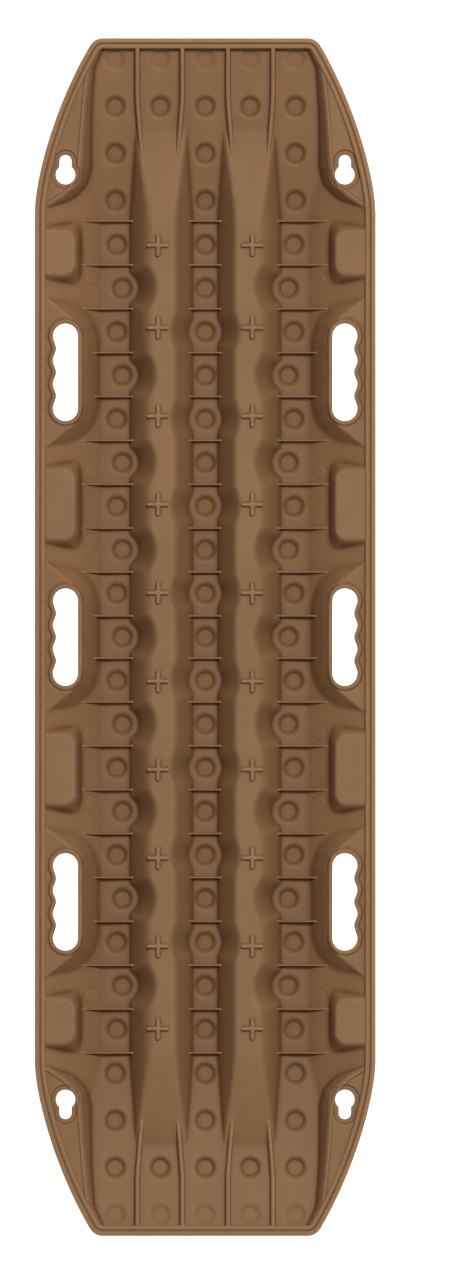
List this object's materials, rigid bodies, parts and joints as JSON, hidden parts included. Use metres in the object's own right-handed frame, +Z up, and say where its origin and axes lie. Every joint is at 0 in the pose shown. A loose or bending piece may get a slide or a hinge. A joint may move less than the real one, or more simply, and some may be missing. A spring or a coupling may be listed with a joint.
{
  "type": "traction board",
  "caption": "Long moulded traction board: conical teeth under ribbed tread decks, two hollow channels, hand holes along both sides and keyhole slots in its tapered corners.",
  "frame": {"origin": "under the middle of the board, on the plane of the tooth tips that it rests on", "axes": "+Y along the board's length to its front end, +X across it to the right, +Z up out of its hollow, cleated back"},
  "size_m": [0.3274, 1.15, 0.058],
  "materials": {
    "tread_deck": "moulded nylon, matte, walked-on decks",
    "channel": "moulded nylon, satin crowns",
    "side_panel": "moulded nylon, matte",
    "edge_rail": "moulded nylon, satin beads",
    "cleat": "moulded nylon, worn pale along the top"
  },
  "bodies": {
    "root": {"centre_tread": "tread_deck", "channel_left": "channel", "channel_right": "channel", "cleat_left_1": "cleat", "cleat_left_10": "cleat", "cleat_left_2": "cleat", "cleat_left_3": "cleat", "cleat_left_4": "cleat", "cleat_left_5": "cleat", "cleat_left_6": "cleat", "cleat_left_7": "cleat", "cleat_left_8": "cleat", "cleat_left_9": "cleat", "cleat_right_1": "cleat", "cleat_right_10": "cleat", "cleat_right_2": "cleat", "cleat_right_3": "cleat", "cleat_right_4": "cleat", "cleat_right_5": "cleat", "cleat_right_6": "cleat", "cleat_right_7": "cleat", "cleat_right_8": "cleat", "cleat_right_9": "cleat", "corner_rail_left_front": "edge_rail", "corner_rail_left_rear": "edge_rail", "corner_rail_right_front": "edge_rail", "corner_rail_right_rear": "edge_rail", "end_rail_front": "edge_rail", "end_rail_rear": "edge_rail", "handle_left_front": "side_panel", "handle_left_middle": "side_panel", "handle_left_rear": "side_panel", "handle_right_front": "side_panel", "handle_right_middle": "side_panel", "handle_right_rear": "side_panel", "keyhole_corner_left_front": "side_panel", "keyhole_corner_left_rear": "side_panel", "keyhole_corner_right_front": "side_panel", "keyhole_corner_right_rear": "side_panel", "long_pad_left_front": "side_panel", "long_pad_left_rear": "side_panel", "long_pad_right_front": "side_panel", "long_pad_right_rear": "side_panel", "ramp_front": "tread_deck", "ramp_rear": "tread_deck", "short_pad_left_front": "side_panel", "short_pad_left_rear": "side_panel", "short_pad_right_front": "side_panel", "short_pad_right_rear": "side_panel", "side_rail_left": "edge_rail", "side_rail_right": "edge_rail", "tread_left": "tread_deck", "tread_right": "tread_deck"}
  },
  "joints": []
}
